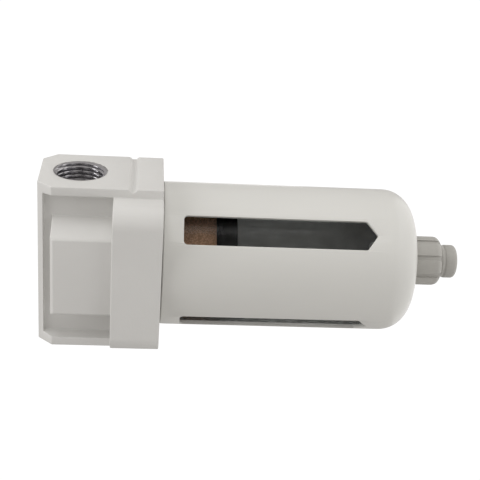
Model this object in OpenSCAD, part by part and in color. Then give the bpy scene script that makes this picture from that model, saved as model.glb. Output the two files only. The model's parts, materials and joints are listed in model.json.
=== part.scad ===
// Compressed air filter: cast head with two threaded ports, a clear bowl inside a metal guard,
// a filter element on a tie rod, and a manual drain turned by a knob.
// Millimetres. Origin at the centre of the inlet port's mouth. +X runs from inlet to outlet along
// the port axis, +Z is up as installed, and -Y is the front.

/* [Ports] */
// Distance from one port face to the other
port_span = 70; // [66:0.5:76]
// Radius of the port wall, at the major diameter of a G 1/2 thread
port_r = 10.48; // [10.2:0.02:10.6]
// Threaded depth of each port
port_depth = 15; // [13:0.5:16]
// Width of the chamfer at the mouth of each port
port_chamfer = 0.2; // [0.1:0.05:0.8]

/* [Head casting] */
// Height of the roof above the port axis
roof_z = 16; // [15:0.5:18]
// Depth of the skirt's lower rim below the port axis
skirt_z = 33.4; // [33:0.1:34]
// Depth of the skirt's upper edge below the port axis
skirt_top_z = 13.9; // [13:0.1:15]
// Half-depth of the port plates
plate_y = 18.4; // [17:0.1:20]
// Corner cut of the port plates at the roof
plate_cut = 5.8; // [3:0.1:7]
// Thickness of the port plates at their outer edge
plate_t = 3.6; // [2.6:0.1:4]
// Half-width of the skirt
skirt_x = 31.3; // [31:0.1:32]
// Half-depth of the skirt
skirt_y = 32.1; // [31.5:0.1:33]
// Radius of the skirt's upright corners
skirt_r = 8; // [6:0.5:9]
// Half-depth of the raised blocks on the front and the back
block_y = 26.3; // [24:0.1:28]
// Half-width of the raised blocks at their outer face
block_x = 16.5; // [14:0.1:18]
// Height of the raised blocks' upper face
block_z = 10.1; // [8:0.1:11]

/* [Bowl and guard] */
// Outer radius of the guard
guard_r = 29.65; // [29.5:0.05:30.5]
// Depth of the guard's end below the port axis
guard_end_z = 138.9; // [138.6:0.1:140]
// Radius of the guard's rounded end
guard_round = 12; // [11.5:0.5:14]
// Width of a sight slot
slot_w = 12.1; // [9:0.1:13]
// Upper end of the sight slots, below the port axis
slot_top_z = 41.7; // [41:0.1:46]
// Lower square corners of the sight slots, below the port axis
slot_low_z = 115.2; // [105:0.2:116]
// Length of the slots' pointed tip
slot_tip = 4; // [2:0.1:5]
// Outer radius of the bowl
bowl_r = 26.9; // [26.5:0.1:27]
// Inner radius of the bowl
bowl_in_r = 24; // [23.6:0.1:24.2]

/* [Element] */
// Outer radius of the filter element
element_r = 17; // [15:0.5:18]
// Inner radius of the filter element
element_in_r = 11; // [9:0.5:12]
// Upper end of the filter element, below the port axis
element_top_z = 27.6; // [27.6:0.1:28]
// Lower end of the filter element, below the port axis
element_low_z = 56.6; // [54:0.2:59]

/* [Drain] */
// Radius of the drain knob
knob_r = 10.3; // [10:0.1:10.6]
// Lower end of the drain knob, below the port axis
knob_end_z = 151.3; // [150.6:0.1:151.6]
// Number of grooves around the drain knob
knob_grooves = 8; // [6:1:10]
// Radius of the drain nozzle
nozzle_r = 7; // [6.6:0.1:7.2]
// Lower end of the drain nozzle, below the port axis
nozzle_end_z = 158.4; // [158:0.1:160]
// Radius of the threaded hole in the nozzle, at the major diameter of a G 1/8 thread
nozzle_hole_r = 4.86; // [4.6:0.02:4.9]

/* [Hidden] */
$fn = 72;
eps = 0.01;
fine_fn = 40;
axis_x = port_span / 2;

// Head casting
web_y = 13;
roof_t = 2.3;
recess_x = axis_x - plate_t;
recess_draft = 0.9;
block_flare = 4.4;
block_bevel = 1.1;
groove_z = 21.3;
groove_w = 3.5;
groove_d = 1.3;
passage_r = 8;
passage_past = 5.2;
elbow_x = 19.6;
elbow_r = 6;
chamber_z = 17;
tube_r = 12;
tube_z = 24.6;
rod_r = 2.5;
rod_top_z = 13;

// Skirt bores
thread_r = 29.4;
thread_top_z = 24.4;
seat_r = 26.4;

// Bowl neck and seal
neck_r = 26;
neck_top_z = 18.3;
flange_r = 29;
flange_top_z = 24.7;
flange_low_z = 27.2;
seal_wire = 0.7;
seal_ring_r = 25.65;
seal_z = 21.2;

// Bowl bottom
bowl_low_z = 134;
bowl_floor_z = 131;
bowl_round = 13;
bowl_in_round = 10;
bowl_hole_r = 6.3;

// Guard
guard_in_r = 27.3;
guard_wide_r = 27.95;
guard_step_z = 36;
guard_neck_r = 28.2;
guard_top_z = 27.5;
guard_shoulder_z = skirt_z + 0.2;
guard_t = 1.7;
guard_crown = 1.2;
guard_hole_r = 11;
guard_ridges = 3;
ridge_pitch = 1.9;
ridge_r = 29;
slot_count = 4;
slot_phase = 43.5;
slot_round = 1.6;

// Element set
gasket_t = 1;
gasket_in_r = 9;
gasket_out_r = 16;
baffle_r = 20.5;
baffle_low_z = 63.6;
baffle_t = 1.8;
baffle_hub_r = 6;
baffle_fins = 8;
rod_low_z = 66;
rod_clear = 0.06;

// Deflector
deflector_r = 22.6;
deflector_in_r = tube_r + 0.05;
deflector_top_z = 18;
vane_count = 14;
vane_t = 1.1;
vane_lean = 38;

// Drain
drain_bore_r = 3.6;
stem_r = 3.53;
collar_r = 5;
housing_r = 6.2;
housing_end_z = 142;
housing_flange_r = 9.5;
housing_flange_t = 2;
drain_gasket_t = 0.8;
seat_wall = 1;
seat_hole_r = 2.2;
nut_r = 9.6;
nut_t = 3;
nut_sides = 6;
knob_top_z = 137.5;
knob_bore_r = housing_r + 0.08;
knob_cavity_r = 7.4;
knob_cavity_top_z = 140.6;
knob_cavity_low_z = 146.2;
knob_round = 2.6;
knob_groove_w = 2;
knob_groove_d = 0.7;
knob_groove_phase = 31;
ring_z = 141;
ring_t = 0.8;
ring_groove_r = 5.5;
ring_out_r = 7;
collar_top_z = 146;
nozzle_top_z = knob_end_z + 0.3;
nozzle_round = 1.6;
nozzle_hole_depth = 7;
nozzle_seam_z = nozzle_top_z + 1.3;
nozzle_seam_w = 0.8;
nozzle_seam_d = 0.35;
seal_cap_r = 3.2;
seal_cap_t = 1;
stem_top_z = 130.6;
stem_ring_z = 136;
stem_ring_wire = 0.5;
waterway_r = 1.4;
spring_wire_r = 0.45;
spring_ring_r = 4.6;
spring_coils = 3;

// Colours
cast_colour = "gainsboro";
guard_colour = "whitesmoke";
clear_colour = [0.5, 0.52, 0.54, 0.45];
black_colour = [0.13, 0.13, 0.14];
element_colour = [0.6, 0.43, 0.3];
steel_colour = "silver";
rubber_colour = [0.16, 0.16, 0.17];
drain_colour = "darkgray";
white_colour = "white";

// ---- Shared shapes ------------------------------------------------------------------------

// Moves a shape from the bowl's axis to its place beside the inlet
module on_axis() {
    translate([axis_x, 0, 0]) children();
}

// Round bar between two depths below the port axis
module bar(r, z_top, z_low) {
    translate([0, 0, -z_low]) cylinder(r = r, h = z_low - z_top);
}

// Round bar along X between two places
module bar_x(r, x_low, x_high) {
    translate([x_low, 0, 0]) rotate([0, 90, 0]) cylinder(r = r, h = x_high - x_low);
}

// Washer or tube between two depths below the port axis
module tube(r_out, r_in, z_top, z_low) {
    difference() {
        bar(r_out, z_top, z_low);
        bar(r_in, z_top - 1, z_low + 1);
    }
}

// Ring of round wire lying at one depth below the port axis
module wire_ring(ring_r, wire_r, z) {
    translate([0, 0, -z]) rotate_extrude() translate([ring_r, 0]) circle(wire_r, $fn = fine_fn);
}

// Rectangle with round corners
module round_rect(x, y, r) {
    square([2 * (x - r), 2 * y], center = true);
    square([2 * x, 2 * (y - r)], center = true);
    for (sx = [-1, 1], sy = [-1, 1]) translate([sx * (x - r), sy * (y - r)]) circle(r);
}

// Points of an arc about a centre, from one angle to another
function arc(c, r, a0, a1, n) =
    [for (i = [0:n]) let (a = a0 + (a1 - a0) * i / n) [c[0] + r * cos(a), c[1] + r * sin(a)]];

// ---- Head ---------------------------------------------------------------------------------

// Outline of the port plates, roof and web, seen along the port axis
module plate_outline() {
    polygon([[-plate_y, -skirt_z], [plate_y, -skirt_z], [plate_y, roof_z - plate_cut],
             [plate_y - plate_cut, roof_z], [plate_cut - plate_y, roof_z],
             [-plate_y, roof_z - plate_cut]]);
}

// One recess between the port plates, above the skirt and open to the front
module recess() {
    x_in = recess_x - recess_draft;
    translate([0, 0, -skirt_top_z])
        linear_extrude(height = skirt_top_z + roof_z - roof_t)
            polygon([[-recess_x, -plate_y - 1], [recess_x, -plate_y - 1],
                     [x_in, -web_y], [-x_in, -web_y]]);
}

// One raised block, on the front
module block() {
    x_root = block_x + block_flare;
    b = block_bevel;
    intersection() {
        translate([0, 0, -skirt_z + 1])
            linear_extrude(height = skirt_z - 1 + block_z)
                polygon([[-x_root, -web_y + 2], [-x_root, -web_y], [-block_x - b / 2, b - block_y],
                         [b / 2 - block_x, -block_y], [block_x - b / 2, -block_y],
                         [block_x + b / 2, b - block_y], [x_root, -web_y], [x_root, -web_y + 2]]);
        rotate([90, 0, 90])
            linear_extrude(height = 3 * x_root, center = true)
                polygon([[-block_y - 1, -skirt_z], [0, -skirt_z], [0, block_z],
                         [b - block_y, block_z], [-block_y, block_z - b],
                         [-block_y - 1, block_z - b]]);
    }
}

// V-groove across one port face, for the clamp of a modular spacer
module clamp_groove() {
    translate([axis_x, 0, -groove_z])
        rotate([90, 0, 0])
            linear_extrude(height = 3 * plate_y, center = true)
                polygon([[eps, -groove_w / 2], [eps, groove_w / 2],
                         [-groove_d, groove_w * 0.12], [-groove_d, -groove_w * 0.12]]);
}

// Threaded port with its mouth chamfer, on the outlet side
module port_hole() {
    bar_x(port_r, axis_x - port_depth, axis_x + 1);
    translate([axis_x - port_chamfer, 0, 0])
        rotate([0, 90, 0])
            cylinder(r1 = port_r, r2 = port_r + 2 * port_chamfer, h = 2 * port_chamfer);
}

// Air passages inside the head
module passages() {
    bar_x(passage_r, axis_x - port_depth - 3, axis_x - port_depth + 1);
    bar_x(passage_r, -passage_past, axis_x - port_depth);
    mirror([1, 0, 0]) bar_x(passage_r, elbow_x - elbow_r, axis_x - port_depth + 1);
    translate([-elbow_x, 0, -chamber_z - 1]) cylinder(r = elbow_r, h = chamber_z + 1);
    bar(passage_r, 0, tube_z + 1);
}

// Stepped bores of the skirt, leaving the middle tube standing
module skirt_bores() {
    bar(thread_r, thread_top_z, skirt_z + 1);
    difference() {
        bar(seat_r, chamber_z, thread_top_z + eps);
        bar(tube_r, chamber_z - 1, tube_z);
    }
}

module head_casting() color(cast_colour) on_axis() {
    difference() {
        union() {
            difference() {
                rotate([90, 0, 90])
                    linear_extrude(height = port_span, center = true) plate_outline();
                recess();
                mirror([0, 1, 0]) recess();
            }
            block();
            mirror([0, 1, 0]) block();
            translate([0, 0, -skirt_z])
                linear_extrude(height = skirt_z - skirt_top_z) round_rect(skirt_x, skirt_y, skirt_r);
        }
        skirt_bores();
        passages();
        port_hole();
        mirror([1, 0, 0]) port_hole();
        clamp_groove();
        mirror([1, 0, 0]) clamp_groove();
        translate([0, 0, passage_r - 1]) cylinder(r = rod_r, h = rod_top_z - passage_r + 1);
    }
}

module tie_rod() color(steel_colour) on_axis()
    translate([0, 0, -rod_low_z]) cylinder(r = rod_r, h = rod_low_z + rod_top_z);

// Hexagonal nut that locks the rod under the roof of the outlet passage
module tie_rod_locknut() color(steel_colour) on_axis() {
    nut_low = 3.6;
    difference() {
        translate([0, 0, nut_low]) cylinder(r = 4.6, h = 2.4, $fn = nut_sides);
        translate([0, 0, nut_low - 1]) cylinder(r = rod_r, h = 5);
    }
}

// Louvred ring that spins the incoming air
module deflector() color(black_colour) on_axis() {
    plate_t_low = 1.4;
    tube(deflector_in_r + 1.2, deflector_in_r, deflector_top_z, tube_z + 1);
    tube(deflector_r, gasket_in_r, tube_z + eps, tube_z + plate_t_low + eps);
    intersection() {
        tube(deflector_r, deflector_in_r + 0.6, deflector_top_z, tube_z + 0.5);
        for (i = [0:vane_count - 1])
            rotate([0, 0, i * 360 / vane_count])
                translate([(deflector_r + deflector_in_r) / 2, 0, -(deflector_top_z + tube_z) / 2])
                    rotate([vane_lean, 0, 0])
                        cube([deflector_r, vane_t, 14], center = true);
    }
}

// ---- Element set --------------------------------------------------------------------------

module element_gasket_top() color(rubber_colour) on_axis()
    tube(gasket_out_r, gasket_in_r, element_top_z - gasket_t + 0.02, element_top_z);

module filter_element() color(element_colour) on_axis()
    tube(element_r, element_in_r, element_top_z, element_low_z);

module element_gasket_bottom() color(rubber_colour) on_axis()
    tube(gasket_out_r, gasket_in_r, element_low_z, element_low_z + gasket_t);

// Umbrella baffle that shields the collected water and carries the element
module baffle() color(black_colour) on_axis() {
    top_z = element_low_z + gasket_t;
    difference() {
        union() {
            bar(baffle_r, top_z, baffle_low_z);
            tube(element_r + 1.6, element_r + 0.1, top_z - 2.2, top_z + 1);
        }
        bar(baffle_r - baffle_t, top_z + baffle_t, baffle_low_z + 1);
        bar(rod_r + rod_clear, top_z - 1, baffle_low_z + 1);
    }
    difference() {
        union() {
            bar(baffle_hub_r, top_z + baffle_t - eps, baffle_low_z);
            for (i = [0:baffle_fins - 1])
                rotate([0, 0, (i + 0.5) * 360 / baffle_fins])
                    translate([baffle_hub_r - 1, -0.6, -baffle_low_z + 0.5])
                        cube([baffle_r - baffle_t - baffle_hub_r + 1.5, 1.2,
                              baffle_low_z - top_z - baffle_t - 0.5 + eps]);
        }
        bar(rod_r + rod_clear, top_z - 1, baffle_low_z + 1);
    }
}

// ---- Bowl ---------------------------------------------------------------------------------

module bowl() color(clear_colour) on_axis()
    rotate_extrude()
        polygon(concat(
            [[bowl_in_r, -neck_top_z - 0.6], [bowl_in_r + 0.6, -neck_top_z],
             [neck_r - 0.5, -neck_top_z], [neck_r, -neck_top_z - 0.5],
             [neck_r, -seal_z + seal_wire + 0.1],
             [seal_ring_r - seal_wire, -seal_z + seal_wire + 0.1],
             [seal_ring_r - seal_wire, -seal_z - seal_wire - 0.1],
             [neck_r, -seal_z - seal_wire - 0.1], [neck_r, -flange_top_z],
             [flange_r, -flange_top_z], [flange_r, -flange_low_z], [bowl_r, -flange_low_z]],
            arc([bowl_r - bowl_round, bowl_round - bowl_low_z], bowl_round, 0, -90, 9),
            [[bowl_hole_r, -bowl_low_z], [bowl_hole_r, -bowl_floor_z]],
            arc([bowl_in_r - bowl_in_round, bowl_in_round - bowl_floor_z], bowl_in_round,
                -90, 0, 9)));

module bowl_oring() color(rubber_colour) on_axis()
    wire_ring(seal_ring_r, seal_wire, seal_z);

// Rubber ring that centres the bowl's end in the guard
module bowl_cushion_ring() color(rubber_colour) on_axis()
    tube(14.5, 11.2, bowl_low_z, guard_end_z - guard_t - guard_crown - 0.5);

// Perforated cap over the drain seat
module drain_strainer() color(white_colour) on_axis() {
    cap_r = 7;
    cap_top = 122.5;
    cap_low = bowl_floor_z - drain_gasket_t - housing_flange_t;
    difference() {
        bar(cap_r, cap_top, cap_low);
        bar(cap_r - 1, cap_top + 1, cap_low + 1);
        for (a = [0:30:150])
            rotate([0, 0, a])
                translate([0, 0, -(cap_top + 1 + cap_low) / 2])
                    cube([3 * cap_r, 1.1, 3], center = true);
    }
}

module drain_housing() color(drain_colour) on_axis() {
    top_z = bowl_floor_z - drain_gasket_t - housing_flange_t;
    difference() {
        union() {
            bar(housing_flange_r, top_z, top_z + housing_flange_t);
            bar(housing_r, top_z + 1, housing_end_z);
        }
        bar(seat_hole_r, top_z - 1, top_z + seat_wall + eps);
        bar(drain_bore_r, top_z + seat_wall, housing_end_z + 1);
        difference() {
            bar(housing_r + 1, ring_z - 0.05, ring_z + ring_t + 0.05);
            bar(ring_groove_r, ring_z - 1, ring_z + ring_t + 1);
        }
    }
}

module drain_gasket() color(rubber_colour) on_axis()
    tube(housing_flange_r - 0.5, bowl_hole_r, bowl_floor_z - drain_gasket_t, bowl_floor_z);

module drain_nut() color(steel_colour) on_axis()
    difference() {
        translate([0, 0, -bowl_low_z - nut_t]) cylinder(r = nut_r, h = nut_t, $fn = nut_sides);
        bar(housing_r, bowl_low_z - 1, bowl_low_z + nut_t + 1);
    }

// Open snap ring that keeps the knob on the housing
module knob_retaining_ring() color(steel_colour) on_axis()
    difference() {
        tube(ring_out_r, ring_groove_r, ring_z, ring_z + ring_t);
        translate([0, -1.5, -ring_z - ring_t - 1]) cube([ring_out_r + 1, 3, ring_t + 2]);
    }

// ---- Guard --------------------------------------------------------------------------------

// Outline of one sight slot: across, then along the guard
function slot_points() =
    let (w = slot_w / 2, r = slot_round, top = -slot_top_z, low = -slot_low_z)
    concat(arc([w - r, top - r], r, 0, 90, 5), arc([r - w, top - r], r, 90, 180, 5),
           [[-w, low + 0.6], [-w + 0.25, low], [-0.6, low - slot_tip + 0.3], [0, low - slot_tip],
            [0.6, low - slot_tip + 0.3], [w - 0.25, low], [w, low + 0.6]]);

// Upright wall and rounded, slightly crowned end of the guard
module guard_shell() {
    out_c = [guard_r - guard_round, guard_round - guard_end_z + guard_crown];
    in_round = guard_round - guard_t;
    in_c = [guard_wide_r - in_round, out_c[1]];
    rotate_extrude()
        polygon(concat(
            [[guard_in_r, -guard_top_z], [guard_neck_r, -guard_top_z],
             [guard_neck_r, -guard_shoulder_z], [guard_r - 0.5, -guard_shoulder_z],
             [guard_r, -guard_shoulder_z - 0.5]],
            arc(out_c, guard_round, 0, -90, 12),
            [[guard_hole_r, -guard_end_z], [guard_hole_r, -guard_end_z + guard_t]],
            arc(in_c, in_round, -90, 0, 12),
            [[guard_wide_r, -guard_step_z],
             [guard_in_r, guard_wide_r - guard_in_r - guard_step_z]]));
}

module bowl_guard() color(guard_colour) on_axis()
    difference() {
        union() {
            guard_shell();
            for (i = [0:guard_ridges - 1])
                tube(ridge_r, guard_in_r + 0.4, guard_top_z + 0.6 + i * ridge_pitch,
                     guard_top_z + 1.5 + i * ridge_pitch);
        }
        for (i = [0:slot_count - 1])
            rotate([0, 0, slot_phase + i * 360 / slot_count])
                translate([guard_in_r - 2, 0, 0])
                    rotate([90, 0, 90])
                        linear_extrude(height = guard_r) polygon(slot_points());
    }

// ---- Drain knob and stem ------------------------------------------------------------------

module drain_knob() color(drain_colour) on_axis()
    difference() {
        rotate_extrude()
            polygon(concat(
                [[0, -knob_top_z], [knob_r - 0.4, -knob_top_z], [knob_r, -knob_top_z - 0.4]],
                arc([knob_r - knob_round, knob_round - knob_end_z], knob_round, 0, -90, 6),
                [[0, -knob_end_z]]));
        bar(knob_bore_r, knob_top_z - 1, knob_cavity_top_z + eps);
        bar(knob_cavity_r, knob_cavity_top_z, knob_cavity_low_z);
        bar(collar_r + 0.06, knob_cavity_low_z - 1, knob_end_z + 1);
        for (i = [0:knob_grooves - 1])
            rotate([0, 0, knob_groove_phase - 90 + i * 360 / knob_grooves])
                translate([knob_r, 0, -knob_end_z - 1])
                    translate([-knob_groove_d, -knob_groove_w / 2, 0])
                        cube([3, knob_groove_w, knob_end_z - knob_top_z + 2]);
    }

// Hollow stem with the outlet nozzle at its lower end
module drain_stem() color(drain_colour) on_axis()
    difference() {
        union() {
            bar(stem_r, stem_top_z, collar_top_z + 1);
            bar(collar_r, collar_top_z, nozzle_top_z + 1);
            rotate_extrude()
                polygon(concat(
                    [[0, -nozzle_top_z], [nozzle_r - 0.2, -nozzle_top_z],
                     [nozzle_r, -nozzle_top_z - 0.2],
                     [nozzle_r, -nozzle_seam_z + nozzle_seam_w / 2],
                     [nozzle_r - nozzle_seam_d, -nozzle_seam_z + nozzle_seam_w / 2],
                     [nozzle_r - nozzle_seam_d, -nozzle_seam_z - nozzle_seam_w / 2],
                     [nozzle_r, -nozzle_seam_z - nozzle_seam_w / 2 - nozzle_seam_d]],
                    arc([nozzle_r - nozzle_round, nozzle_round - nozzle_end_z], nozzle_round,
                        0, -90, 5),
                    [[0, -nozzle_end_z]]));
        }
        bar(waterway_r, stem_top_z + 2, nozzle_end_z + 1);
        bar(nozzle_hole_r, nozzle_end_z - nozzle_hole_depth, nozzle_end_z + 1);
        translate([0, 0, -stem_top_z - 2.6]) rotate([90, 0, 0])
            cylinder(r = 0.9, h = 4 * stem_r, center = true);
        difference() {
            bar(stem_r + 1, stem_ring_z - 0.6, stem_ring_z + 0.6);
            bar(stem_r - 0.98, stem_ring_z - 1, stem_ring_z + 1);
        }
    }

module valve_seal() color(rubber_colour) on_axis()
    bar(seal_cap_r, stem_top_z - seal_cap_t, stem_top_z);

module stem_oring() color(rubber_colour) on_axis()
    wire_ring(stem_r - 0.98 + stem_ring_wire, stem_ring_wire, stem_ring_z);

// Short spring between the housing and the stem's collar, drawn as separate coils
module drain_spring() color(steel_colour) on_axis() {
    span = collar_top_z - housing_end_z - 2 * spring_wire_r;
    for (i = [0:spring_coils - 1])
        wire_ring(spring_ring_r, spring_wire_r,
                  housing_end_z + spring_wire_r + span * i / (spring_coils - 1));
}

head_casting();
tie_rod();
tie_rod_locknut();
deflector();
element_gasket_top();
filter_element();
element_gasket_bottom();
baffle();
bowl();
bowl_oring();
bowl_cushion_ring();
drain_strainer();
drain_housing();
drain_gasket();
drain_nut();
knob_retaining_ring();
bowl_guard();
drain_knob();
drain_stem();
valve_seal();
stem_oring();
drain_spring();
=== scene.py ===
"""Looks of the compressed air filter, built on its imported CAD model. Lengths are in metres."""
import json
import math

import bmesh
import bpy
from mathutils import Matrix, Vector

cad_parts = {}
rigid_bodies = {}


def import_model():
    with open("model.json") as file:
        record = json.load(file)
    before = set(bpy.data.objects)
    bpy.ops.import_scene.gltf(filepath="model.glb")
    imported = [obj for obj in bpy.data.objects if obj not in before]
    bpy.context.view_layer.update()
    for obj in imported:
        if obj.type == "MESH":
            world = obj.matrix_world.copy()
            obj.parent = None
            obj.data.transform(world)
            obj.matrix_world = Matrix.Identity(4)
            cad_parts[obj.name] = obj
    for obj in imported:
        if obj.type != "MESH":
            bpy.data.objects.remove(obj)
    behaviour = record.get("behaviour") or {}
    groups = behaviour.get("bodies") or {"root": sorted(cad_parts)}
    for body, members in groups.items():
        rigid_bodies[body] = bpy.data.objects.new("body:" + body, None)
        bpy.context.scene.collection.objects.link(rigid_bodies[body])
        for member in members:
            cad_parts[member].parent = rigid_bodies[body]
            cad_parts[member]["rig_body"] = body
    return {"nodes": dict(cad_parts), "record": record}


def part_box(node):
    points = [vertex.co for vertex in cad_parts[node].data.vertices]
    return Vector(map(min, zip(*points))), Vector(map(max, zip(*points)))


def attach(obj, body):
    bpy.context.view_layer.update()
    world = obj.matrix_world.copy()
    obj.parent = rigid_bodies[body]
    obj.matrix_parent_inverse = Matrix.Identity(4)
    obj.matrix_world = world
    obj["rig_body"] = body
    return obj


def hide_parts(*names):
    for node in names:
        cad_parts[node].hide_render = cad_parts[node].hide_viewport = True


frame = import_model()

MM = 0.001
TAU = 2 * math.pi
nodes = frame["nodes"]
record = frame["record"]
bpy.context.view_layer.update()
mounts = {m["name"]: m for m in record["mounts"]}

# ---- Places and sizes taken from the frame --------------------------------------------------

head_low, head_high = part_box("head_casting")
axis_x = (head_low.x + head_high.x) / 2
axis_y = (head_low.y + head_high.y) / 2
port_r = mounts["inlet_port"]["dims"]["r_mm"] * MM
port_length = mounts["outlet_port"]["dims"]["length_mm"] * MM
port_depth = head_high.x - mounts["outlet_port"]["pos_m"][0] + port_length
drain_r = mounts["drain_outlet"]["dims"]["r_mm"] * MM
drain_depth = mounts["drain_outlet"]["dims"]["length_mm"] * MM
drain_mouth_z = mounts["drain_outlet"]["pos_m"][2]

# Threads of the visual model, which the CAD model leaves plain
PORT_PITCH = 1.814 * MM
PORT_THREAD_DEPTH = 1.16 * MM
PORT_SINK = 0.22 * MM
SINK_SLOPE = 0.58
GUARD_PITCH = 1.9 * MM
NECK_R = 28.2 * MM
SKIRT_ROOT_R = 29.38 * MM
SKIRT_CREST_R = 29.08 * MM
SKIRT_BACK_R = 29.43 * MM
ROD_PITCH = 0.8 * MM
ROD_THREAD = 12 * MM
DRAIN_PITCH = 0.907 * MM
DRAIN_THREAD_DEPTH = 0.58 * MM
SPRING_WIRE_R = 0.45 * MM
SPRING_TURNS = 3.6


# ---- Camera -----------------------------------------------------------------------------------

CAMERA_PLACE = Vector((0.2293, -0.4110, -0.0243))
CAMERA_TARGET = Vector((0.0408, 0.0021, -0.0664))
CAMERA_ROLL = math.radians(4.3)
CAMERA_LENS = 81.54


def make_camera():
    """Camera that lies on its side, so that the object's +X is up in the picture."""
    data = bpy.data.cameras.new("camera")
    data.lens = CAMERA_LENS
    data.sensor_width = 36
    data.clip_start = 0.01
    data.clip_end = 20
    cam = bpy.data.objects.new("camera", data)
    bpy.context.scene.collection.objects.link(cam)
    back = (CAMERA_PLACE - CAMERA_TARGET).normalized()
    right = Vector((1, 0, 0)).cross(back).normalized()
    up = back.cross(right)
    turn = Matrix.Rotation(CAMERA_ROLL, 3, back)
    right, up = turn @ right, turn @ up
    cam.matrix_world = Matrix.Translation(CAMERA_PLACE) @ Matrix(
        ((right.x, up.x, back.x), (right.y, up.y, back.y), (right.z, up.z, back.z))).to_4x4()
    bpy.context.scene.camera = cam


# ---- Light and floor --------------------------------------------------------------------------

def area_light(name, place, target, size, power, glossy):
    data = bpy.data.lights.new(name, "AREA")
    data.shape = "RECTANGLE"
    data.size, data.size_y = size
    data.energy = power
    lamp = bpy.data.objects.new(name, data)
    bpy.context.scene.collection.objects.link(lamp)
    lamp.location = place
    lamp.rotation_euler = (Vector(target) - Vector(place)).to_track_quat("-Z", "Y").to_euler()
    lamp.visible_camera = False
    lamp.visible_glossy = glossy


def make_world():
    """White all round as the camera sees it, and a softer, slightly warm white as light."""
    world = bpy.data.worlds.new("studio")
    bpy.context.scene.world = world
    world.use_nodes = True
    tree = world.node_tree
    tree.nodes.clear()
    out = tree.nodes.new("ShaderNodeOutputWorld")
    seen = tree.nodes.new("ShaderNodeBackground")
    seen.inputs["Color"].default_value = (1, 1, 1, 1)
    seen.inputs["Strength"].default_value = 1.05
    lit = tree.nodes.new("ShaderNodeBackground")
    lit.inputs["Color"].default_value = (1.0, 0.965, 0.935, 1)
    lit.inputs["Strength"].default_value = 0.44
    path = tree.nodes.new("ShaderNodeLightPath")
    mix = tree.nodes.new("ShaderNodeMixShader")
    tree.links.new(path.outputs["Is Camera Ray"], mix.inputs["Fac"])
    tree.links.new(lit.outputs["Background"], mix.inputs[1])
    tree.links.new(seen.outputs["Background"], mix.inputs[2])
    tree.links.new(mix.outputs["Shader"], out.inputs["Surface"])


def make_floor():
    """Pale floor well below the hanging filter, bright enough to melt into the white around it."""
    mesh = bpy.data.meshes.new("floor")
    half, z = 0.7, -0.5
    mesh.from_pydata([(-half, -half, z), (half, -half, z), (half, half, z), (-half, half, z)],
                     [], [(0, 1, 2, 3)])
    floor = bpy.data.objects.new("floor", mesh)
    bpy.context.scene.collection.objects.link(floor)
    mat = bpy.data.materials.new("floor_white")
    mat.use_nodes = True
    bsdf = mat.node_tree.nodes["Principled BSDF"]
    bsdf.inputs["Base Color"].default_value = (0.9, 0.9, 0.89, 1)
    bsdf.inputs["Roughness"].default_value = 0.9
    bsdf.inputs["Emission Color"].default_value = (1, 1, 1, 1)
    bsdf.inputs["Emission Strength"].default_value = 0.35
    mesh.materials.append(mat)


def panel(name, direction, distance, size, radiance, glossy=True):
    """Soft panel that faces the filter from a direction, as bright as its radiance says."""
    centre = Vector((axis_x, axis_y, -0.07))
    place = centre + Vector(direction).normalized() * distance
    area_light(name, place, centre, size, radiance * math.pi * size[0] * size[1], glossy)


def make_lights():
    panel("key_side", (0.995, -0.1, 0.05), 1.2, (1.3, 0.85), 1.6, glossy=False)
    panel("fill_roof", (0.3, -0.25, 0.92), 1.1, (1.0, 0.9), 2.3)
    panel("fill_under", (0.15, -0.42, -0.88), 0.72, (0.5, 0.45), 3.0)
    panel("fill_low", (-0.85, -0.5, -0.3), 1.1, (0.8, 0.7), 0.6, glossy=False)
    panel("fill_behind", (-0.3, 0.95, 0.2), 1.2, (0.9, 0.9), 0.7)


# ---- Materials --------------------------------------------------------------------------------

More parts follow.
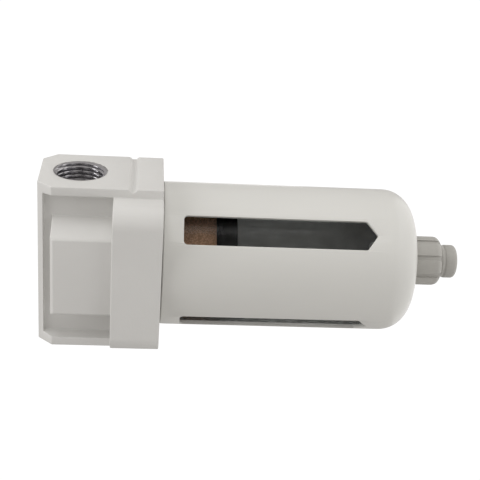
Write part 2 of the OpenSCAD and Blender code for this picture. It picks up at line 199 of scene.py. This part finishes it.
class Surface:
    """A Principled material with short calls for the procedural detail that feeds it."""

    def __init__(self, name, colour, roughness, metallic=0.0):
        self.mat = bpy.data.materials.new(name)
        self.mat.use_nodes = True
        self.tree = self.mat.node_tree
        self.shader = self.tree.nodes["Principled BSDF"]
        self.colour = colour
        self.shader.inputs["Base Color"].default_value = (*colour, 1)
        self.shader.inputs["Roughness"].default_value = roughness
        self.shader.inputs["Metallic"].default_value = metallic
        self.coords = self.tree.nodes.new("ShaderNodeTexCoord").outputs["Object"]
        self.normal = None

    def set(self, **values):
        for name, value in values.items():
            self.shader.inputs[name.replace("_", " ")].default_value = value

    def stretched(self, scale):
        node = self.tree.nodes.new("ShaderNodeMapping")
        node.inputs["Scale"].default_value = scale
        self.tree.links.new(self.coords, node.inputs["Vector"])
        return node.outputs["Vector"]

    def noise(self, size, detail=2.0, rough=0.5, vector=None, distortion=0.0):
        node = self.tree.nodes.new("ShaderNodeTexNoise")
        node.inputs["Scale"].default_value = 1 / size
        node.inputs["Detail"].default_value = detail
        node.inputs["Roughness"].default_value = rough
        node.inputs["Distortion"].default_value = distortion
        self.tree.links.new(vector or self.coords, node.inputs["Vector"])
        return node.outputs["Fac"]

    def cells(self, size, output="Distance"):
        node = self.tree.nodes.new("ShaderNodeTexVoronoi")
        node.inputs["Scale"].default_value = 1 / size
        self.tree.links.new(self.coords, node.inputs["Vector"])
        return node.outputs[output]

    def ramp(self, source, stops):
        """Colours or greys at given places along a value."""
        node = self.tree.nodes.new("ShaderNodeValToRGB")
        ramp = node.color_ramp
        for i, (place, value) in enumerate(stops):
            item = ramp.elements[i] if i < 2 else ramp.elements.new(place)
            item.position = place
            rgb = value if isinstance(value, tuple) else (value,) * 3
            item.color = (*rgb, 1)
        self.tree.links.new(source, node.inputs["Fac"])
        return node.outputs["Color"]

    def math(self, operation, a, b):
        node = self.tree.nodes.new("ShaderNodeMath")
        node.operation = operation
        for socket, value in zip(node.inputs, (a, b)):
            if isinstance(value, (int, float)):
                socket.default_value = value
            else:
                self.tree.links.new(value, socket)
        return node.outputs["Value"]

    def mix(self, factor, a, b):
        node = self.tree.nodes.new("ShaderNodeMix")
        node.data_type = "RGBA"
        self.tree.links.new(factor, node.inputs["Factor"])
        for socket, value in ((node.inputs[6], a), (node.inputs[7], b)):
            if isinstance(value, tuple):
                socket.default_value = (*value, 1)
            else:
                self.tree.links.new(value, socket)
        return node.outputs[2]

    def tint(self, factor, low, high):
        """Base colour that wanders between two shades of the material's own colour."""
        dark = tuple(c * low for c in self.colour)
        light = tuple(min(1.0, c * high) for c in self.colour)
        return self.mix(factor, dark, light)

    def use_colour(self, source):
        self.tree.links.new(source, self.shader.inputs["Base Color"])

    def use_roughness(self, source, low, high):
        node = self.tree.nodes.new("ShaderNodeMapRange")
        node.inputs["To Min"].default_value = low
        node.inputs["To Max"].default_value = high
        self.tree.links.new(source, node.inputs["Value"])
        self.tree.links.new(node.outputs["Result"], self.shader.inputs["Roughness"])

    def bump(self, height, depth, strength=1.0):
        """Adds relief; later calls lie on top of earlier ones."""
        node = self.tree.nodes.new("ShaderNodeBump")
        node.inputs["Strength"].default_value = strength
        node.inputs["Distance"].default_value = depth
        self.tree.links.new(height, node.inputs["Height"])
        if self.normal:
            self.tree.links.new(self.normal, node.inputs["Normal"])
        self.normal = node.outputs["Normal"]
        self.tree.links.new(self.normal, self.shader.inputs["Normal"])


def cast_paint():
    """Satin paint over a die casting: soft orange peel, faint blotches and a few pin marks."""
    s = Surface("cast_paint", (0.655, 0.648, 0.628), 0.5)
    tone = s.tint(s.noise(0.018, 3.0), 0.965, 1.03)
    pin = s.ramp(s.cells(0.0062), [(0.0, 1.0), (0.035, 0.0)])
    pick = s.ramp(s.cells(0.0062, "Color"), [(0.80, 0.0), (0.84, 1.0)])
    s.use_colour(s.mix(s.math("MULTIPLY", pin, pick), tone, (0.36, 0.33, 0.29)))
    s.use_roughness(s.noise(0.0035, 3.0), 0.40, 0.56)
    s.bump(s.noise(0.0019, 2.0), 0.00016, 0.35)
    s.bump(s.noise(0.00055, 2.0), 0.00005, 0.5)
    return s.mat


def guard_paint():
    """Smoother gloss paint over sheet metal, with stray specks of dirt."""
    s = Surface("guard_paint", (0.66, 0.655, 0.625), 0.32)
    tone = s.tint(s.noise(0.03, 2.0), 0.975, 1.02)
    speck = s.ramp(s.cells(0.0085), [(0.0, 1.0), (0.032, 0.0)])
    pick = s.ramp(s.cells(0.0085, "Color"), [(0.78, 0.0), (0.80, 1.0)])
    s.use_colour(s.mix(s.math("MULTIPLY", speck, pick), tone, (0.30, 0.24, 0.17)))
    s.use_roughness(s.noise(0.006, 3.0), 0.26, 0.38)
    s.set(Coat_Weight=0.25, Coat_Roughness=0.12)
    s.bump(s.noise(0.0032, 2.0), 0.00012, 0.22)
    s.bump(s.noise(0.0007, 1.0), 0.00002, 0.4)
    return s.mat


def painted_light_inside():
    """Dull inside of the guard, lighter than the outside paint: painted light that brightens what is
    seen through the slots.
    """
    s = Surface("guard_inside_painted_light", (0.74, 0.74, 0.72), 0.6)
    # Base colour lighter than the guard paint: painted light, not the inside's own colour
    s.use_colour(s.tint(s.noise(0.006, 4.0), 0.75, 1.25))
    s.use_roughness(s.noise(0.002, 3.0), 0.45, 0.7)
    s.bump(s.noise(0.0008, 2.0), 0.00005, 0.4)
    return s.mat


def clear_bowl():
    """Smoky clear polycarbonate with faint moulding waviness."""
    s = Surface("bowl_clear", (0.965, 0.975, 0.975), 0.03)
    s.set(Transmission_Weight=1.0, IOR=1.22, Specular_IOR_Level=0.3)
    s.use_roughness(s.noise(0.004, 3.0), 0.015, 0.05)
    wave = s.noise(0.006, 2.0, vector=s.stretched((1, 1, 0.12)))
    s.bump(wave, 0.0003, 0.25)
    return s.mat


def sintered_element():
    """Brown grains pressed together, darker in the pores."""
    s = Surface("element_medium", (0.52, 0.31, 0.19), 0.85)
    grains = s.cells(0.0007)
    tone = s.mix(s.noise(0.004, 4.0), (0.46, 0.25, 0.14), (0.66, 0.40, 0.25))
    s.use_colour(s.mix(s.ramp(grains, [(0.25, 0.0), (0.75, 1.0)]), tone, (0.36, 0.20, 0.11)))
    s.bump(grains, 0.0001, -0.5)
    s.bump(s.noise(0.0004, 2.0), 0.00006, 0.4)
    return s.mat


def moulded(name, colour, rough_low, rough_high, grain=0.0005, shine=0.5):
    """Moulded plastic: fine spark-eroded grain and faint flow marks."""
    s = Surface(name, colour, rough_low)
    s.set(Specular_IOR_Level=shine)
    s.use_colour(s.tint(s.noise(0.005, 3.0, distortion=1.0), 0.92, 1.07))
    s.use_roughness(s.noise(0.002, 3.0), rough_low, rough_high)
    s.bump(s.noise(grain, 2.0), 0.00004, 0.55)
    s.bump(s.noise(0.003, 2.0), 0.00008, 0.2)
    return s.mat


def rubber():
    s = Surface("seal_rubber", (0.022, 0.022, 0.024), 0.6)
    s.use_colour(s.tint(s.noise(0.001, 3.0), 0.75, 1.5))
    s.use_roughness(s.noise(0.0012, 2.0), 0.5, 0.75)
    s.bump(s.noise(0.0003, 2.0), 0.00003, 0.6)
    return s.mat


def turned_metal(name, colour, along, rough=0.24):
    """Machined metal with fine tool marks; along is the turning axis."""
    s = Surface(name, colour, rough, 1.0)
    squeeze = tuple(1.0 if i == along else 0.06 for i in range(3))
    lines = s.noise(0.00035, 3.0, vector=s.stretched(squeeze))
    s.use_colour(s.tint(s.noise(0.002, 3.0), 0.8, 1.12))
    s.use_roughness(lines, rough * 0.7, rough * 1.6)
    s.bump(lines, 0.00003, 0.4)
    return s.mat


def zinc_plate(name, colour):
    s = Surface(name, colour, 0.3, 1.0)
    s.use_colour(s.tint(s.noise(0.0015, 4.0), 0.78, 1.12))
    s.use_roughness(s.noise(0.0008, 3.0), 0.22, 0.42)
    s.bump(s.noise(0.0005, 2.0), 0.00003, 0.4)
    return s.mat


# ---- Mesh helpers -----------------------------------------------------------------------------

def new_object(name, verts, faces, mat):
    mesh = bpy.data.meshes.new(name)
    mesh.from_pydata([tuple(v) for v in verts], [], faces)
    mesh.validate()
    obj = bpy.data.objects.new(name, mesh)
    bpy.context.scene.collection.objects.link(obj)
    mesh.polygons.foreach_set("use_smooth", [True] * len(mesh.polygons))
    mesh.materials.append(mat)
    return obj


def apply_modifiers(obj):
    graph = bpy.context.evaluated_depsgraph_get()
    mesh = bpy.data.meshes.new_from_object(obj.evaluated_get(graph))
    obj.modifiers.clear()
    obj.data = mesh
    return obj


def shave(bm, radius, above_z):
    """Presses whatever stands out past a radius, above a height, flat onto that radius."""
    for v in bm.verts:
        flat = Vector((v.co.x - axis_x, v.co.y - axis_y))
        if v.co.z > above_z and flat.length > radius:
            flat *= radius / flat.length
            v.co.x, v.co.y = axis_x + flat.x, axis_y + flat.y


def eased_copy(node, name, mat, width, segments=3, sharp=28, merge=0.004 * MM, smooth_bore=None):
    """A copy of a CAD node with its edges rounded off, which then stands for the node.

    smooth_bore takes the plain thread rings off a neck of that radius, above the head's lower rim.
    """
    mesh = nodes[node].data.copy()
    mesh.name = name
    obj = bpy.data.objects.new(name, mesh)
    bpy.context.scene.collection.objects.link(obj)
    bm = bmesh.new()
    bm.from_mesh(mesh)
    if smooth_bore:
        shave(bm, smooth_bore, head_low.z)
    bmesh.ops.remove_doubles(bm, verts=bm.verts, dist=merge)
    bmesh.ops.dissolve_degenerate(bm, edges=bm.edges, dist=merge)
    bmesh.ops.dissolve_limit(bm, angle_limit=math.radians(0.4), verts=bm.verts, edges=bm.edges)
    for face in bm.faces:
        face.smooth = True
    bm.to_mesh(mesh)
    bm.free()
    if mesh.has_custom_normals:
        mesh.normals_split_custom_set([(0, 0, 0)] * len(mesh.loops))
    mesh.materials.clear()
    mesh.materials.append(mat)
    bevel = obj.modifiers.new("ease", "BEVEL")
    bevel.width = width
    bevel.segments = segments
    bevel.limit_method = "ANGLE"
    bevel.angle_limit = math.radians(sharp)
    bevel.use_clamp_overlap = False
    bevel.harden_normals = True
    return apply_modifiers(obj)


def triangle_wave(x, flat=0.2):
    """0 at a root, 1 at a crest, with flats on both, for a thread's profile."""
    t = 1 - abs(2 * (x % 1.0) - 1)
    return min(1.0, max(0.0, (t - flat / 2) / (1 - flat)))


def thread_sleeve(name, mat, centre, axis, root_r, crest_r, pitch, length, mouth_r=None,
                  back_r=None, across=96, per_pitch=14):
    """Closed sleeve whose one wall is a helical thread.

    The sleeve starts at centre and runs length along axis. crest_r below root_r gives an inner
    thread. mouth_r opens the first turns with a countersink. back_r is the plain wall.
    """
    axis = Vector(axis)
    side = axis.orthogonal().normalized()
    other = axis.cross(side)
    inner = crest_r < root_r
    back_r = back_r or (root_r + 0.03 * MM if inner else root_r - 0.3 * MM)
    rows = int(length / pitch * per_pitch)
    verts = []

    def ring(t, radius_at):
        for j in range(across):
            a = TAU * j / across
            verts.append(Vector(centre) + axis * t + (side * math.cos(a) + other * math.sin(a))
                         * radius_at(a))

    def wall_radius(t, a):
        rise = triangle_wave(t / pitch - a / TAU)
        ends = min(1.0, (length - t) / pitch + 0.001)
        if mouth_r is None:
            ends = min(ends, t / (0.5 * pitch) + 0.001)
        r = root_r + (crest_r - root_r) * rise * max(0.0, ends)
        return max(r, mouth_r - t / SINK_SLOPE) if mouth_r else r

    for i in range(rows + 1):
        t = length * i / rows
        ring(t, lambda a: wall_radius(t, a))
    if mouth_r:
        depth = mouth_r - back_r
        ring(length, lambda a: back_r)
        ring(depth, lambda a: back_r)
        ring(0.0, lambda a: mouth_r + 0.02 * MM)
        count = rows + 4
    else:
        ring(length, lambda a: back_r)
        ring(0.0, lambda a: back_r)
        count = rows + 3
    faces = []
    for i in range(count):
        k = (i + 1) % count
        for j in range(across):
            m = (j + 1) % across
            quad = (i * across + j, i * across + m, k * across + m, k * across + j)
            faces.append(quad if inner else quad[::-1])
    obj = new_object(name, verts, faces, mat)
    sharpen(obj, 40)
    return obj


def threaded_rod(name, mat, radius, z_low, z_high, pitch, thread_length, across=32, per_pitch=12):
    """Rod on the bowl's axis with a chamfered helical thread at both ends."""
    root = radius - 0.6 * pitch
    step = pitch / per_pitch
    count = int(thread_length / step)
    heights = [z_low + i * step for i in range(count)]
    heights += [z_high - i * step for i in range(count, -1, -1)]
    verts = []
    for z in heights:
        end = min(z - z_low, z_high - z)
        shank = min(1.0, max(0.0, (end - thread_length + 2 * pitch) / (2 * pitch)))
        for j in range(across):
            a = TAU * j / across
            r = root + (radius - root) * max(shank, triangle_wave(z / pitch - a / TAU))
            r = min(r, root + end)
            verts.append((axis_x + r * math.cos(a), axis_y + r * math.sin(a), z))
    faces = [(i * across + j, i * across + (j + 1) % across, (i + 1) * across + (j + 1) % across,
              (i + 1) * across + j) for i in range(len(heights) - 1) for j in range(across)]
    faces.append(tuple(reversed(range(across))))
    faces.append(tuple(range((len(heights) - 1) * across, len(heights) * across)))
    obj = new_object(name, verts, faces, mat)
    sharpen(obj, 40)
    return obj


def sharpen(obj, degrees):
    """Marks edges over an angle as sharp, so that smooth shading stops at them."""
    bm = bmesh.new()
    bm.from_mesh(obj.data)
    bmesh.ops.recalc_face_normals(bm, faces=bm.faces)
    limit = math.radians(degrees)
    for edge in bm.edges:
        edge.smooth = edge.calc_face_angle(0.0) < limit
    bm.to_mesh(obj.data)
    bm.free()


def coil(name, mat, centre, mean_r, wire_r, z_low, z_high, turns, around=10, steps=40):
    """Compression spring with closed ends, as one swept tube."""
    count = int(turns * steps)
    closed = 0.9
    path = []
    for i in range(count + 1):
        turn = turns * i / count
        free = min(max((turn - closed) / (turns - 2 * closed), 0.0), 1.0)
        end_rise = wire_r * 1.9 * (min(turn, closed) / closed + max(0.0, turn - turns + closed) / closed)
        z = z_low + wire_r + end_rise + free * (z_high - z_low - 2 * wire_r - 3.8 * wire_r)
        a = TAU * turn
        path.append((a, z))
    verts, faces = [], []
    for a, z in path:
        for j in range(around):
            b = TAU * j / around
            r = mean_r + wire_r * math.cos(b)
            verts.append((centre[0] + r * math.cos(a), centre[1] + r * math.sin(a),
                          z + wire_r * math.sin(b)))
    for i in range(count):
        for j in range(around):
            m = (j + 1) % around
            faces.append((i * around + j, (i + 1) * around + j, (i + 1) * around + m, i * around + m))
    faces.append(tuple(range(around)))
    faces.append(tuple(reversed(range(count * around, (count + 1) * around))))
    obj = new_object(name, verts, faces, mat)
    sharpen(obj, 60)
    return obj


def stand_for(obj, node):
    """The piece rides on the node's body and is shown in its place."""
    body = nodes[node]["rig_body"]
    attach(obj, body)
    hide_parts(node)
    return obj


def add_piece(obj, body):
    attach(obj, body)
    return obj


def repaint(node, mat):
    mesh = nodes[node].data
    if not mesh.materials:
        mesh.materials.append(mat)
    for i in range(len(mesh.materials)):
        nodes[node].material_slots[i].link = "OBJECT"
        nodes[node].material_slots[i].material = mat


# ---- Pieces -----------------------------------------------------------------------------------

def build_head(paint, metal):
    head = eased_copy("head_casting", "head", paint, 0.4 * MM)
    stand_for(head, "head_casting")
    crest_r = port_r - PORT_THREAD_DEPTH
    mouth_r = port_r + PORT_SINK
    for side, x, axis in (("inlet", head_low.x, (1, 0, 0)), ("outlet", head_high.x, (-1, 0, 0))):
        thread = thread_sleeve(side + "_thread", metal, (x, 0, 0), axis, port_r - 0.05 * MM,
                               crest_r, PORT_PITCH, port_depth - 0.2 * MM, mouth_r=mouth_r,
                               back_r=port_r - 0.015 * MM)
        add_piece(thread, "head")
    rim = Vector((axis_x, axis_y, head_low.z + 0.6 * MM))
    skirt_thread = thread_sleeve("skirt_thread", paint, rim, (0, 0, 1), SKIRT_ROOT_R, SKIRT_CREST_R,
                                 GUARD_PITCH, 5.2 * MM, back_r=SKIRT_BACK_R, across=160)
    add_piece(skirt_thread, "head")


def build_rod(steel):
    low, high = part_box("tie_rod")
    rod = threaded_rod("tie_rod_threaded", steel, (high.x - low.x) / 2, low.z, high.z,
                       ROD_PITCH, ROD_THREAD)
    stand_for(rod, "tie_rod")


def build_drain(plastic):
    knob = eased_copy("drain_knob", "twist_knob", plastic, 0.18 * MM, segments=2, sharp=30)
    stand_for(knob, "drain_knob")
    stem = eased_copy("drain_stem", "stem_and_nozzle", plastic, 0.12 * MM, segments=2, sharp=40)
    stand_for(stem, "drain_stem")
    mouth = Vector((axis_x, axis_y, drain_mouth_z + 0.12 * MM))
    thread = thread_sleeve("drain_thread", plastic, mouth, (0, 0, 1), drain_r - 0.04 * MM,
                           drain_r - DRAIN_THREAD_DEPTH, DRAIN_PITCH, drain_depth - 0.3 * MM,
                           back_r=drain_r + 0.02 * MM, across=64)
    add_piece(thread, "stem")


def build_guard(paint, inside):
    guard = eased_copy("bowl_guard", "guard", paint, 0.15 * MM, segments=2, sharp=35,
                       merge=0.05 * MM, smooth_bore=NECK_R)
    guard.data.materials.append(inside)
    low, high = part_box("bowl_guard")
    out_r = (high.x - low.x) / 2
    # Inner walls and the inner floor take the lighter inside material: painted light for the view
    # through the slots
    for poly in guard.data.polygons:
        c = poly.center - Vector((axis_x, axis_y, 0))
        flat = Vector((c.x, c.y, 0))
        inward = poly.normal.dot(flat.normalized()) < -0.3 and flat.length < out_r - 1.2 * MM
        floor_up = poly.normal.z > 0.5 and c.z < low.z + 20 * MM and flat.length < out_r - 1 * MM
        if inward or floor_up:
            poly.material_index = 1
    stand_for(guard, "bowl_guard")
    top = Vector((axis_x, axis_y, high.z - 0.15 * MM))
    neck_thread = thread_sleeve("guard_thread", paint, top, (0, 0, -1), NECK_R + 0.02 * MM,
                                out_r - 0.67 * MM, GUARD_PITCH, top.z - head_low.z - 0.3 * MM,
                                across=160)
    add_piece(neck_thread, "guard")


def build_all():
    cast = cast_paint()
    bare = turned_metal("port_metal", (0.62, 0.61, 0.63), 0, 0.2)
    black = moulded("black_plastic", (0.003, 0.003, 0.0032), 0.65, 0.8, shine=0.05)
    grey = moulded("grey_plastic", (0.415, 0.405, 0.378), 0.38, 0.55)
    white = moulded("white_plastic", (0.75, 0.75, 0.73), 0.4, 0.6)
    seal = rubber()
    plated = zinc_plate("plated_steel", (0.60, 0.60, 0.58))
    spring = zinc_plate("spring_steel", (0.45, 0.45, 0.46))
    clear = clear_bowl()
    build_head(cast, bare)
    # The guard's inside gets the lighter painted-light material
    build_guard(guard_paint(), painted_light_inside())
    bowl = eased_copy("bowl", "clear_bowl", clear, 0.25 * MM, segments=2, sharp=40)
    stand_for(bowl, "bowl")
    build_drain(grey)
    build_rod(plated)
    element = eased_copy("filter_element", "element_tube", sintered_element(), 0.5 * MM)
    stand_for(element, "filter_element")
    baffle = eased_copy("baffle", "umbrella_baffle", black, 0.25 * MM, segments=2, sharp=35)
    stand_for(baffle, "baffle")
    low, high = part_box("drain_spring")
    spring_coil = coil("spring_coil", spring, (axis_x, axis_y), (high.x - low.x) / 2 - SPRING_WIRE_R,
                       SPRING_WIRE_R, low.z, high.z, SPRING_TURNS)
    stand_for(spring_coil, "drain_spring")
    for names, mat in (
            (("tie_rod_locknut", "drain_nut", "knob_retaining_ring"), plated),
            (("deflector",), black), (("drain_housing",), grey), (("drain_strainer",), white),
            (("element_gasket_top", "element_gasket_bottom", "bowl_oring", "bowl_cushion_ring",
              "drain_gasket", "valve_seal", "stem_oring"), seal)):
        for name in names:
            repaint(name, mat)


bpy.context.scene.view_settings.view_transform = "Standard"
make_camera()
make_world()
make_floor()
make_lights()
build_all()
